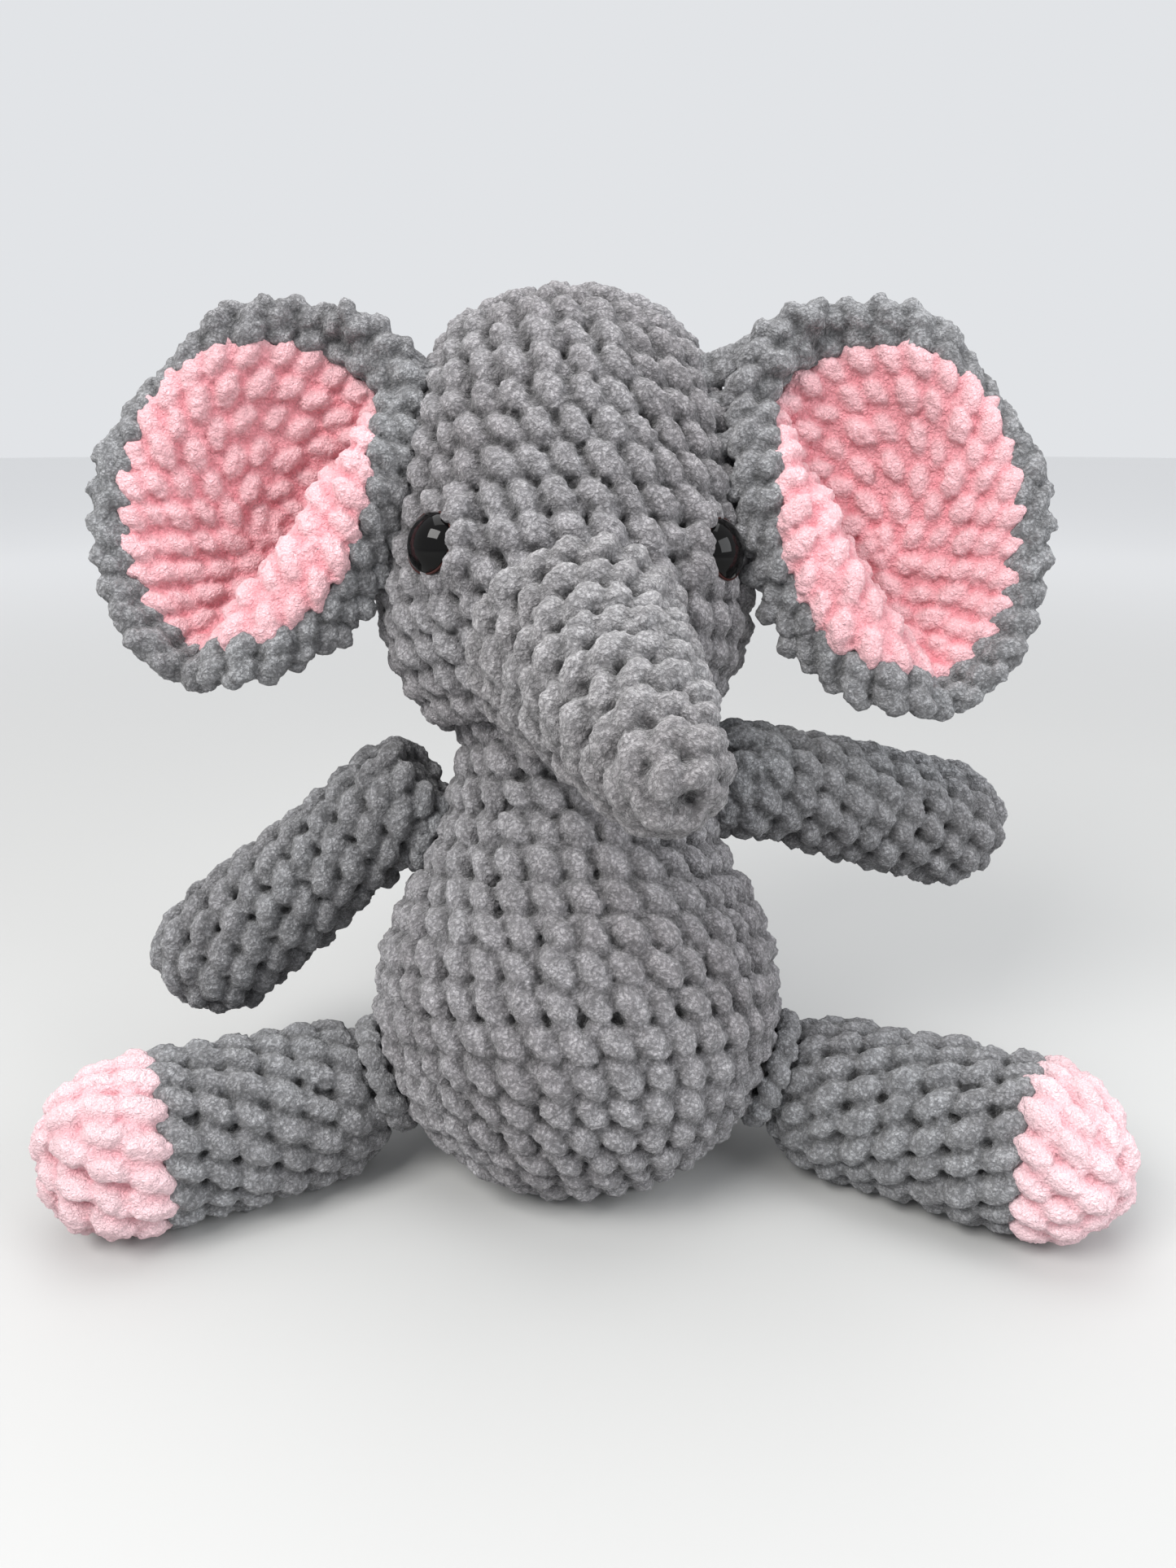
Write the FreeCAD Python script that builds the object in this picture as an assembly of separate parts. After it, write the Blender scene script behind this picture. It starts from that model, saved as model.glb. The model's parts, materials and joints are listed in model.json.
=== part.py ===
"""Crocheted, stuffed elephant that sits on the floor, as an assembly of covers, stuffing, seams and eyes.

World frame, millimetres: +Z is up, the toy faces -Y, and its own left hand is on the +X side. The origin
is the centre of the flat patch that it sits on. Head and body are modelled upright about the body's axis,
with the belly's centre at (0, 0, 0), and are then leaned back by LEAN and lifted to BELLY_HEIGHT.
"""
import FreeCAD, Part
import math
import os

Vec = FreeCAD.Vector

# Pose and fabric
LEAN = 17.0                 # degrees that the body leans back from upright
BELLY_HEIGHT = 74.0         # belly's centre above the floor
FABRIC = 6.0                # thickness of the crocheted fabric
GAP = 0.3                   # clearance between the fabric and what it holds
SEAT = FABRIC + GAP         # lowest level of the stuffing inside the body

# Body, about its own axis
BELLY_R = 85.0
NECK_R = 50.0               # radius where the head is sewn on
NECK_Z = 109.0
NECK_PIVOT_Z = 87.0         # centre of the round top that the head turns and nods on
NECK_WAD_R = 41.0
NECK_YARN_R = 2.3           # sewing yarn round the neck
NECK_SEAM_RISE = 20.0       # degrees above the pivot's level at which it lies

# Head, about an axis parallel to the body's
HEAD_X = -5.0               # the head sits a little to one side
HEAD_YAW = 6.0              # degrees that the face is turned towards +X
CHEEK_R = 77.0
CHEEK_Z = 164.0
CROWN_Z = 286.5
EYE_Z = 177.0
EYE_SPREAD = 46.0           # degrees from the face's middle to each eye

# Safety eye
EYE_R = 12.0
EYE_DOME = 6.5
EYE_FLANGE = 1.2
EYE_STEM_R = 2.6
EYE_STEM = 16.0
WASHER_R = 9.0
WASHER_FIT = 0.05
WASHER = 1.5

# Trunk
TRUNK_Z = 136.5             # height at which its middle leaves the face
TRUNK_OUT = 8.0             # its pivot, outside the face
TRUNK_ROOT_R = 33.5
TRUNK_TIP_R = 18.0
TRUNK_TIP = Vec(27.5, -150.0, 90.0)
TRUNK_YARN = 3.0            # thickness of the sewn band round its root

# Ears, in an ear's own frame: X away from the head, Y back, Z up its long side, from the middle of its seam
EAR_Z = {"left": 196.0, "right": 203.0}
EAR_BACK = -22.0            # the seam is this far behind the head's axis (negative is in front)
EAR_TILT = 13.0             # degrees that the top leans in to the head
EAR_HALF_WIDTH = 55.5
EAR_HALF_HEIGHT = 78.0
EAR_DEPTH = 42.0
EAR_CENTRE = 54.5           # middle of its mouth, away from the seam
EAR_DROP = 12.0             # middle of its mouth, below the seam's
EAR_RIM_FRONT = -18.0       # its mouth, in front of the seam
EAR_SEAM_R = 1.9
EAR_SEAM_LENGTH = 60.0

# Arms: pivot and direction in the body's frame
ARM_ROOT_R = 22.0
ARM_PAW_R = 27.5
ARM_LENGTH = 99.0           # pivot to the paw's centre
ARM_PIVOT = {"left": Vec(79.5, 5.0, 88.0), "right": Vec(-82.5, 3.0, 76.0)}
ARM_WAY = {"left": Vec(0.894, 0.403, -0.195), "right": Vec(-0.761, 0.152, -0.630)}
SHOULDER_SEAM_R = 12.0
SHOULDER_SEAM = 1.8

# Legs: they lie on the floor, so they are set in the world frame
LEG_ROOT_R = 32.0
LEG_FOOT_R = 34.5
LEG_LENGTH = 78.0           # pivot to the foot's centre
LEG_COLOUR_CHANGE = {"left": 77.0, "right": 62.0}   # pivot to the end of the grey cover
LEG_PIVOT = {"left": Vec(111.4, -16.2, 32.0), "right": Vec(-110.6, -21.4, 32.0)}
LEG_SPREAD = {"left": 31.0, "right": 27.0}      # degrees in front of straight sideways
HIP_SEAM_R = 18.0
HIP_SEAM = 2.4

SIDES = {"left": 1.0, "right": -1.0}
FAR = 500.0                 # larger than the toy


def arc(centre, radius, start, end):
    """Arc in the XZ plane about centre, from angle start to angle end in degrees, 0 along +X."""
    angles = (start, (start + end) / 2.0, end)
    points = [Vec(centre[0] + radius * math.cos(math.radians(a)), 0.0,
                  centre[1] + radius * math.sin(math.radians(a))) for a in angles]
    return Part.Arc(*points).toShape()


def angle_to(centre, point):
    return math.degrees(math.atan2(point[1] - centre[1], point[0] - centre[0]))


def turned(edges):
    """Solid of revolution about Z of a profile whose two ends are on the axis."""
    first = edges[0].firstVertex().Point
    last = edges[-1].lastVertex().Point
    axis = Part.LineSegment(last, first).toShape()
    face = Part.Face(Part.Wire(edges + [axis]))
    return face.revolve(Vec(0, 0, 0), Vec(0, 0, 1), 360.0)


def polyline(points):
    corners = [Vec(x, 0.0, z) for x, z in points]
    return [Part.LineSegment(a, b).toShape() for a, b in zip(corners, corners[1:])]


def leaned():
    return FreeCAD.Placement(Vec(0, 0, BELLY_HEIGHT), FreeCAD.Rotation(Vec(1, 0, 0), -LEAN))


def in_world(shape):
    """A shape of the body's frame, put in the world frame."""
    return shape.transformed(leaned().toMatrix())


def aimed(shape, origin, way):
    """A shape modelled along +Z from (0, 0, 0), moved to origin and pointed along way."""
    placement = FreeCAD.Placement(origin, FreeCAD.Rotation(Vec(0, 0, 1), way))
    return shape.transformed(placement.toMatrix())


def ball(radius, centre=Vec(0, 0, 0)):
    return Part.makeSphere(radius, centre)


def limb(root_r, tip_r, length):
    """Round-ended cone along +Z: a ball at the origin, a ball at length and the cone that touches both."""
    slope = math.degrees(math.asin((root_r - tip_r) / length))
    side_start = (root_r * math.cos(math.radians(slope)), root_r * math.sin(math.radians(slope)))
    side_end = (tip_r * math.cos(math.radians(slope)), length + tip_r * math.sin(math.radians(slope)))
    profile = [arc((0.0, 0.0), root_r, -90.0, slope)]
    profile += polyline([side_start, side_end])
    profile += [arc((0.0, length), tip_r, slope, 90.0)]
    return turned(profile)


def limb_cover(root_r, tip_r, length):
    return limb(root_r, tip_r, length).cut(limb(root_r - FABRIC, tip_r - FABRIC, length))


def limb_stuffing(root_r, tip_r, length):
    inset = FABRIC + GAP
    return limb(root_r - inset, tip_r - inset, length)


# ---- body and neck ----

def body_form(inset):
    """The pear shape, inset evenly: round belly, hollow neck and the round top that the head sits on."""
    dome_r = math.hypot(NECK_R, NECK_Z - NECK_PIVOT_Z)
    hollow_r = (NECK_R ** 2 + NECK_Z ** 2 - BELLY_R ** 2) / (2.0 * (BELLY_R - NECK_R))
    hollow = (NECK_R + hollow_r, NECK_Z)
    pivot = (0.0, NECK_PIVOT_Z)
    # where the inset hollow meets the inset dome
    r1, r2 = hollow_r + inset, dome_r - inset
    apart = math.hypot(hollow[0], hollow[1] - pivot[1])
    along = (r2 ** 2 - r1 ** 2 + apart ** 2) / (2.0 * apart)
    off = math.sqrt(r2 ** 2 - along ** 2)
    way = (hollow[0] / apart, (hollow[1] - pivot[1]) / apart)
    rim = (way[0] * along - way[1] * off, pivot[1] + way[1] * along + way[0] * off)
    tangent = math.degrees(math.atan2(hollow[1], hollow[0]))
    return turned([
        arc((0.0, 0.0), BELLY_R - inset, -90.0, tangent),
        arc(hollow, r1, tangent + 180.0, (angle_to(hollow, rim) + 360.0) % 360.0),
        arc(pivot, r2, angle_to(pivot, rim), 90.0),
    ])


def above(level):
    """Everything above a level of the world frame."""
    return Part.makeBox(2 * FAR, 2 * FAR, FAR * 2, Vec(-FAR, -FAR, level))


def neck_pivot():
    return Vec(0, 0, NECK_PIVOT_Z)


def body_cover():
    outer = in_world(body_form(0.0)).common(above(0.0))
    return outer.cut(in_world(body_form(FABRIC)).common(above(FABRIC)))


def body_stuffing():
    filling = in_world(body_form(FABRIC + GAP)).common(above(SEAT))
    return filling.cut(in_world(ball(NECK_WAD_R + GAP, neck_pivot())))


def neck_stuffing():
    return in_world(ball(NECK_WAD_R, neck_pivot()))


# ---- head ----

def jaw_height():
    """Height of the ellipse from the cheeks down that passes the neck's edge."""
    return (CHEEK_Z - NECK_Z) / math.sqrt(1.0 - (NECK_R / CHEEK_R) ** 2)


def head_half_height(z):
    return CROWN_Z - CHEEK_Z if z > CHEEK_Z else jaw_height()


def head_form(inset):
    """The head's egg shape, inset evenly: a tall half ellipsoid over a short one, flat at the neck's edge."""
    middle = Vec(0, 0, CHEEK_Z)
    radius = CHEEK_R - inset
    top, bottom = CROWN_Z - CHEEK_Z - inset, jaw_height() - inset
    crown = Part.Ellipse(middle + Vec(0, 0, top), middle + Vec(radius, 0, 0), middle)
    jaw = Part.Ellipse(middle + Vec(radius, 0, 0), middle - Vec(0, 0, bottom), middle)
    jaw_end = math.acos(NECK_R / CHEEK_R)
    foot = (radius * math.cos(jaw_end), CHEEK_Z - bottom * math.sin(jaw_end))
    form = turned([Part.ArcOfEllipse(crown, 0.0, math.pi / 2.0).toShape(),
                   Part.ArcOfEllipse(jaw, 0.0, jaw_end).toShape()] + polyline([foot, (0.0, foot[1])]))
    return form.translated(Vec(HEAD_X, 0, 0))


def neck_socket():
    dome_r = math.hypot(NECK_R, NECK_Z - NECK_PIVOT_Z)
    return ball(dome_r + GAP, neck_pivot())


def head_radius(z):
    return CHEEK_R * math.sqrt(1.0 - ((z - CHEEK_Z) / head_half_height(z)) ** 2)


def head_normal(z, turn):
    """Outward direction of the head's surface at height z, turned from the front towards +X by turn."""
    across = head_radius(z) / CHEEK_R ** 2
    rise = (z - CHEEK_Z) / head_half_height(z) ** 2
    angle = math.radians(turn)
    return Vec(across * math.sin(angle), -across * math.cos(angle), rise).normalize()


def head_surface(z, turn):
    angle = math.radians(turn)
    radius = head_radius(z)
    return Vec(HEAD_X + radius * math.sin(angle), -radius * math.cos(angle), z)


def trunk_pivot():
    return head_surface(TRUNK_Z, HEAD_YAW) + head_normal(TRUNK_Z, HEAD_YAW) * TRUNK_OUT


def trunk_socket():
    return ball(TRUNK_ROOT_R + GAP, trunk_pivot())


def eye_turn(side):
    return HEAD_YAW + SIDES[side] * EYE_SPREAD


def on_eye(side, shape, lift=0.0):
    """A shape modelled about +Z, put on the head's surface at an eye."""
    way = head_normal(EYE_Z, eye_turn(side))
    return aimed(shape, head_surface(EYE_Z, eye_turn(side)) + way * lift, way)


def head_cover():
    cover = head_form(0.0).cut(head_form(FABRIC)).cut(neck_socket()).cut(trunk_socket())
    for side in SIDES:
        hole = Part.makeCylinder(EYE_STEM_R + GAP, 3 * FABRIC, Vec(0, 0, -2 * FABRIC))
        cover = cover.cut(on_eye(side, hole))
    return in_world(cover)


def head_stuffing():
    filling = head_form(FABRIC + GAP).cut(neck_socket()).cut(trunk_socket())
    for side in SIDES:
        pocket = Part.makeCylinder(WASHER_R + GAP, EYE_STEM + FABRIC, Vec(0, 0, -EYE_STEM - GAP))
        filling = filling.cut(on_eye(side, pocket))
    return in_world(filling)


def safety_eye(side):
    base = -EYE_FLANGE
    dome_radius = (EYE_R ** 2 + EYE_DOME ** 2) / (2.0 * EYE_DOME)
    centre_z = EYE_DOME - dome_radius
    start = angle_to((0.0, centre_z), (EYE_R, 0.0))
    profile = polyline([(0.0, base - EYE_STEM), (EYE_STEM_R, base - EYE_STEM), (EYE_STEM_R, base),
                        (EYE_R, base), (EYE_R, 0.0)])
    profile += [arc((0.0, centre_z), dome_radius, start, 90.0)]
    return in_world(on_eye(side, turned(profile), lift=EYE_FLANGE + GAP))


def eye_washer(side):
    """Flat lock washer on the stem, behind the fabric."""
    behind = FABRIC + 3 * GAP
    disc = Part.makeCylinder(WASHER_R, WASHER, Vec(0, 0, -behind - WASHER))
    hole = Part.makeCylinder(EYE_STEM_R + WASHER_FIT, 3 * WASHER, Vec(0, 0, -behind - 2 * WASHER))
    return in_world(on_eye(side, disc.cut(hole)))


def neck_seam_reach():
    """Distance from the neck's pivot to the middle of the yarn round it."""
    return math.hypot(NECK_R, NECK_Z - NECK_PIVOT_Z) + 2 * GAP + NECK_YARN_R


def neck_seam():
    """Whipped yarn round the neck, under the head's edge."""
    rise = math.radians(NECK_SEAM_RISE)
    height = NECK_PIVOT_Z + neck_seam_reach() * math.sin(rise)
    return in_world(Part.makeTorus(neck_seam_reach() * math.cos(rise), NECK_YARN_R, Vec(0, 0, height)))


# ---- trunk ----

def trunk_way():
    return TRUNK_TIP - trunk_pivot()


def trunk_cover():
    form = limb_cover(TRUNK_ROOT_R, TRUNK_TIP_R, trunk_way().Length)
    return in_world(aimed(form, trunk_pivot(), trunk_way()))


def trunk_stuffing():
    form = limb_stuffing(TRUNK_ROOT_R, TRUNK_TIP_R, trunk_way().Length)
    return in_world(aimed(form, trunk_pivot(), trunk_way()))


def trunk_seam():
    """Band of sewing yarn that follows the face round the trunk's root."""
    inner = TRUNK_ROOT_R + 2 * GAP
    ring = ball(inner + TRUNK_YARN, trunk_pivot()).cut(ball(inner, trunk_pivot()))
    layer = head_form(-GAP - TRUNK_YARN).cut(head_form(-GAP))
    neck = ball(neck_seam_reach() + NECK_YARN_R + GAP, neck_pivot())
    return in_world(ring.common(layer).cut(neck))


# ---- ears ----

# Sections of the round ear before it is stretched, in hundredths of its radius
EAR_UNIT = 100.0
EAR_OUTER = (100.0, 94.0)
EAR_INNER = (93.3, 86.0)
RIM_SPAN = (87.0, 102.0)
RIM_DEPTH = (-1.0, -14.0)   # from just in front of the shells to where its rounded edge starts


def ear_placement(side):
    """Frame of an ear: origin at the middle of its seam, X away from the head and Z up its long side."""
    hand = SIDES[side]
    out = math.sqrt(head_radius(EAR_Z[side]) ** 2 - EAR_BACK ** 2) + EAR_SEAM_R + 3 * GAP
    origin = Vec(HEAD_X + hand * out, EAR_BACK, EAR_Z[side])
    tilt = math.radians(EAR_TILT)
    up = Vec(-hand * math.sin(tilt), 0, math.cos(tilt))
    away = Vec(hand * math.cos(tilt), 0, math.sin(tilt))
    return origin, away, up


def ear_shaped(side, shape):
    """A shape about the Y axis with a radius of EAR_UNIT, stretched to the ear and put on the head."""
    origin, away, up = ear_placement(side)
    wide, deep, tall = (size / EAR_UNIT for size in (EAR_HALF_WIDTH, EAR_DEPTH, EAR_HALF_HEIGHT))
    centre = origin + away * EAR_CENTRE - up * EAR_DROP + Vec(0, EAR_RIM_FRONT, 0)
    matrix = FreeCAD.Matrix(away.x * wide, 0, up.x * tall, centre.x,
                            0, deep, 0, centre.y,
                            away.z * wide, 0, up.z * tall, centre.z,
                            0, 0, 0, 1)
    return in_world(shape.transformGeometry(matrix))


def ear_cup(outer, inner):
    """Half of a hollow ball, open towards -Y."""
    behind = Part.makeBox(2 * FAR, FAR, 2 * FAR, Vec(-FAR, 0, -FAR))
    return ball(outer).cut(ball(inner)).common(behind)


def ear_back(side):
    return ear_shaped(side, ear_cup(*EAR_OUTER))


def ear_lining(side):
    return ear_shaped(side, ear_cup(*EAR_INNER))


def ear_rim(side):
    """Plump border of grey rounds round the ear's mouth."""
    (inner, outer), (back, front) = RIM_SPAN, RIM_DEPTH
    middle, half = (inner + outer) / 2.0, (outer - inner) / 2.0
    nose = Part.Arc(Vec(outer, front, 0), Vec(middle, front - half, 0), Vec(inner, front, 0)).toShape()
    corners = [Vec(inner, front, 0), Vec(inner, back, 0), Vec(outer, back, 0), Vec(outer, front, 0)]
    sides = [Part.LineSegment(a, b).toShape() for a, b in zip(corners, corners[1:])]
    face = Part.Face(Part.Wire([nose] + sides))
    return ear_shaped(side, face.revolve(Vec(0, 0, 0), Vec(0, 1, 0), 360.0))


def ear_seam(side):
    """Sewing yarn between the ear's root and the side of the head."""
    origin, _, up = ear_placement(side)
    half = EAR_SEAM_LENGTH / 2.0
    yarn = limb(EAR_SEAM_R, EAR_SEAM_R, EAR_SEAM_LENGTH)
    return in_world(aimed(yarn, origin - up * half, up))


# ---- arms ----

def arm_cover(side):
    form = limb_cover(ARM_ROOT_R, ARM_PAW_R, ARM_LENGTH)
    return in_world(aimed(form, ARM_PIVOT[side], ARM_WAY[side]))


def arm_stuffing(side):
    form = limb_stuffing(ARM_ROOT_R, ARM_PAW_R, ARM_LENGTH)
    return in_world(aimed(form, ARM_PIVOT[side], ARM_WAY[side]))


def pad(radius, thickness):
    """Round pad of sewing yarn with a soft edge, along +Z from (0, 0, 0)."""
    half = thickness / 2.0
    flat = polyline([(0.0, 0.0), (radius - half, 0.0)])
    edge = [arc((radius - half, half), half, -90.0, 90.0)]
    return turned(flat + edge + polyline([(radius - half, thickness), (0.0, thickness)]))


def way_to_body(pivot):
    """Direction from a shoulder's pivot to the nearest point of the hollow neck."""
    hollow_r = (NECK_R ** 2 + NECK_Z ** 2 - BELLY_R ** 2) / (2.0 * (BELLY_R - NECK_R))
    flat = Vec(pivot.x, pivot.y, 0)
    centre = flat * ((NECK_R + hollow_r) / flat.Length) + Vec(0, 0, NECK_Z)
    return (pivot - centre).normalize()


def shoulder_seam(side):
    way = way_to_body(ARM_PIVOT[side])
    near = ARM_PIVOT[side] + way * (ARM_ROOT_R + GAP)
    return in_world(aimed(pad(SHOULDER_SEAM_R, SHOULDER_SEAM), near, way))


# ---- legs ----

def leg_way(side):
    """A leg's axis rises a little, so that both its root and its thicker foot lie on the floor."""
    turn = math.radians(LEG_SPREAD[side])
    rise = (LEG_FOOT_R - LEG_ROOT_R) / LEG_LENGTH
    flat = math.sqrt(1.0 - rise ** 2)
    return Vec(SIDES[side] * flat * math.cos(turn), -flat * math.sin(turn), rise)


def leg_part(side, keep_low, keep_high):
    slab = Part.makeBox(FAR, FAR, keep_high - keep_low, Vec(-FAR / 2, -FAR / 2, keep_low))
    cover = limb_cover(LEG_ROOT_R, LEG_FOOT_R, LEG_LENGTH)
    return aimed(cover.common(slab), LEG_PIVOT[side], leg_way(side))


def leg_cover(side):
    return leg_part(side, -FAR / 2, LEG_COLOUR_CHANGE[side])


def foot_sole(side):
    return leg_part(side, LEG_COLOUR_CHANGE[side], FAR / 2)


def leg_stuffing(side):
    return aimed(limb_stuffing(LEG_ROOT_R, LEG_FOOT_R, LEG_LENGTH), LEG_PIVOT[side], leg_way(side))


def hip_seam(side):
    way = (Vec(0, 0, BELLY_HEIGHT) - LEG_PIVOT[side]).normalize()
    return aimed(pad(HIP_SEAM_R, HIP_SEAM), LEG_PIVOT[side] + way * (LEG_ROOT_R + GAP), way)


SINGLE = (body_cover, body_stuffing, neck_stuffing, neck_seam, head_cover, head_stuffing,
          trunk_cover, trunk_stuffing, trunk_seam)
PAIRED = (safety_eye, eye_washer, ear_back, ear_lining, ear_rim, ear_seam,
          arm_cover, arm_stuffing, shoulder_seam,
          leg_cover, foot_sole, leg_stuffing, hip_seam)

os.makedirs("parts", exist_ok=True)
nodes = {make.__name__: make() for make in SINGLE}
for hand in SIDES:
    nodes.update({f"{hand}_{make.__name__}": make(hand) for make in PAIRED})
for name, shape in nodes.items():
    shape.exportStep(f"parts/{name}.step")
    box = shape.BoundBox
    print(f"{name:22s} valid {shape.isValid()} solids {len(shape.Solids)}"
          f"  volume {shape.Volume / 1000:8.1f} cm3"
          f"  x {box.XMin:7.1f} {box.XMax:7.1f}"
          f"  y {box.YMin:7.1f} {box.YMax:7.1f}"
          f"  z {box.ZMin:7.1f} {box.ZMax:7.1f}")
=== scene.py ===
"""Crocheted chenille elephant: each cover is worked in rounds of plump stitches laid over its form."""
import json
import math
import random

import bpy
import numpy as np
from mathutils import Matrix, Vector, noise


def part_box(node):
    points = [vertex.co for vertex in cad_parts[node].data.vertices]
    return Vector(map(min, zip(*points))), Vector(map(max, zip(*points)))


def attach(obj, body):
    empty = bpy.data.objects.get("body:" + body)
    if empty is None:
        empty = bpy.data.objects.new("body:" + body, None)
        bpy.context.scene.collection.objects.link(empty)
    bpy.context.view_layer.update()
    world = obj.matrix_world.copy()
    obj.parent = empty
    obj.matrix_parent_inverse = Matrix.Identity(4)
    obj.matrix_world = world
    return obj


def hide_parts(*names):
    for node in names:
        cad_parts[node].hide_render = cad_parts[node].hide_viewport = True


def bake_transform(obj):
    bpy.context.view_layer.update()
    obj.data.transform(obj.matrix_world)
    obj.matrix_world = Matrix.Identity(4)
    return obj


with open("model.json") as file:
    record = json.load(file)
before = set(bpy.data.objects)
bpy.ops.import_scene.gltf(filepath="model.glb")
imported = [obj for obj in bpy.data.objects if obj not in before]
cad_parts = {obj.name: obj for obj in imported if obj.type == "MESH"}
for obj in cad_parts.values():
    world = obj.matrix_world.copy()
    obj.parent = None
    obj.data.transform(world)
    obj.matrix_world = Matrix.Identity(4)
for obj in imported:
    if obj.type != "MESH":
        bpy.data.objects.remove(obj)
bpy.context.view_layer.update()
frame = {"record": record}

MM = 0.001
VOXEL = 1.2 * MM      # fineness of the fused fabric
rng = random.Random(7)

# Yarn and stitches. A stitch is one plump slanted strand and a smaller one tucked beside it.
STITCH_WIDE = 13.4 * MM       # one stitch along its round
ROUND_TALL = 13.6 * MM        # one round to the next
STITCH_LONG = 9.0 * MM        # half length of the plump strand
STITCH_HALF = 5.4 * MM        # half its width
STITCH_PLUMP = 6.0 * MM       # half its thickness
SLANT_SPREAD = 13             # degrees either way from the round's slant
GROW_LOW, GROW_HIGH = 0.90, 1.12    # uneven size of the stitches
DEPTH_SPREAD, PLACE_SPREAD = 0.8, 1.0    # millimetres either way, in depth and along the round
TUCK_SPREAD = 14              # degrees either way for the small strand
TUCK_HALVES = (4.9 * MM, 3.4 * MM, 4.2 * MM)    # half its length, width and thickness
TUCK_ASIDE, TUCK_AHEAD = 0.45, 0.36    # its place, in stitches along the round and in rounds
TUCK_SINK = 1.9 * MM          # how much deeper it lies
ROUND_SHIFT = 0.5             # each round starts half a stitch on from the last
CORE_DEPTH = 5.3 * MM         # the solid core's depth under the nominal surface
SINK = 3.2 * MM               # depth of a stitch's middle under the nominal surface

CREASE_REACH = 6.5 * MM       # how far round a point its crease depth is judged
CREASE_RANGE = 5.0 * MM       # height difference over which a crease goes from full painted shade to none

PILE_COARSE, PILE_FINE = (0.95, 280.0), (0.75, 560.0)    # height in millimetres and frequency
CORE_ROWS = 60
SLOPE_STEP = 1.5 * MM         # reach over which a form's slope is read

FLOOR_R = 12.0
FLOOR_GAP = 0.2 * MM          # fabric on the floor is pressed flat this far above it
HEAD_SHIFT = -5.0 * MM        # along X: the head sits to the toy's right of its neck
CHEEK_Z = 77.0 * MM           # height of its widest round above the neck's pivot
HEAD_SQUARE = 0.58            # under 1 makes the crown broader than an ellipse
EYE_R, EYE_DOME = 12.0 * MM, 6.5 * MM
EYE_BACK = -1.2 * MM          # back of the dome's rim
LID_APART, LID_SINK = 10.0 * MM, 2.0 * MM
LID_HALVES = (7.4 * MM, 5.2 * MM, 5.6 * MM)
ARM_TUCK = 8.0 * MM           # the arms' roots reach this far past their pivots
ARM_SHORT = 3.5 * MM          # the stitches' plumpness makes up this much of the arm's length
ARM_ROOT_R, ARM_TIP_R = 23.0 * MM, 26.5 * MM
LEG_ROOT_R, LEG_TIP_R = 31.5 * MM, 33.0 * MM
ROOT_BLUNT = 0.62             # under 1 makes a limb's root blunter than a ball
ROOT_FLAT = 0.92              # a limb's root reaches this share of its radius past the pivot
FOOT_SHORT = {"left": 1.0 * MM, "right": 8.0 * MM}    # taken off a leg's length
TRUNK_TIP_R = 18.0 * MM
TRUNK_PROFILE = [(41, -14), (40, -4), (36, 12), (32, 30), (27, 52), (22, 72)]    # radius and height, mm

JOINTS = {joint["name"]: joint for joint in frame["record"]["behaviour"]["joints"]}


# ---- reading the frame ----

def joint_at(name):
    return Vector(JOINTS[name]["pos_m"])


def joint_axis(name):
    return Vector(JOINTS[name]["axis"]).normalized()


def node_points(node):
    mesh = bpy.data.objects[node].data
    points = np.empty(len(mesh.vertices) * 3)
    mesh.vertices.foreach_get("co", points)
    return points.reshape(-1, 3)


def farthest(node, start):
    """The node's point farthest from start: a limb's tip, seen from its pivot."""
    points = node_points(node)
    return Vector(points[np.argmax(np.linalg.norm(points - np.array(start), axis=1))])


# ---- mesh helpers ----

def ball_template(rings=8, spokes=12):
    points = [(0.0, 0.0, 1.0)]
    for i in range(1, rings):
        a = math.pi * i / rings
        for k in range(spokes):
            b = 2 * math.pi * k / spokes
            points.append((math.sin(a) * math.cos(b), math.sin(a) * math.sin(b), math.cos(a)))
    points.append((0.0, 0.0, -1.0))
    faces = []
    last = len(points) - 1
    for k in range(spokes):
        k2 = (k + 1) % spokes
        faces.append((0, 1 + k, 1 + k2))
        for i in range(rings - 2):
            a, b = 1 + i * spokes, 1 + (i + 1) * spokes
            faces += [(a + k, b + k, b + k2), (a + k, b + k2, a + k2)]
        a = 1 + (rings - 2) * spokes
        faces.append((last, a + k2, a + k))
    return np.array(points), np.array(faces)


BALL_POINTS, BALL_FACES = ball_template()


def lump(centre, long_way, normal, half_sizes):
    """Ellipsoid at centre: half_sizes along long_way, across it and along normal."""
    x = Vector(long_way).normalized()
    z = (Vector(normal) - x * x.dot(Vector(normal))).normalized()
    y = z.cross(x)
    basis = np.array([x * half_sizes[0], y * half_sizes[1], z * half_sizes[2]])
    return BALL_POINTS @ basis + np.array(centre), BALL_FACES


def joined(shapes):
    points, faces, start = [], [], 0
    for p, f in shapes:
        points.append(p)
        faces.append(f + start)
        start += len(p)
    return np.vstack(points), np.vstack(faces)


def mesh_object(name, points, faces):
    mesh = bpy.data.meshes.new(name)
    mesh.vertices.add(len(points))
    mesh.vertices.foreach_set("co", np.asarray(points, dtype=np.float32).ravel())
    mesh.loops.add(faces.size)
    mesh.loops.foreach_set("vertex_index", np.asarray(faces, dtype=np.int32).ravel())
    mesh.polygons.add(len(faces))
    mesh.polygons.foreach_set("loop_start", np.arange(0, faces.size, faces.shape[1], dtype=np.int32))
    mesh.update(calc_edges=True)
    mesh.validate()
    obj = bpy.data.objects.new(name, mesh)
    bpy.context.scene.collection.objects.link(obj)
    return obj


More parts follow.
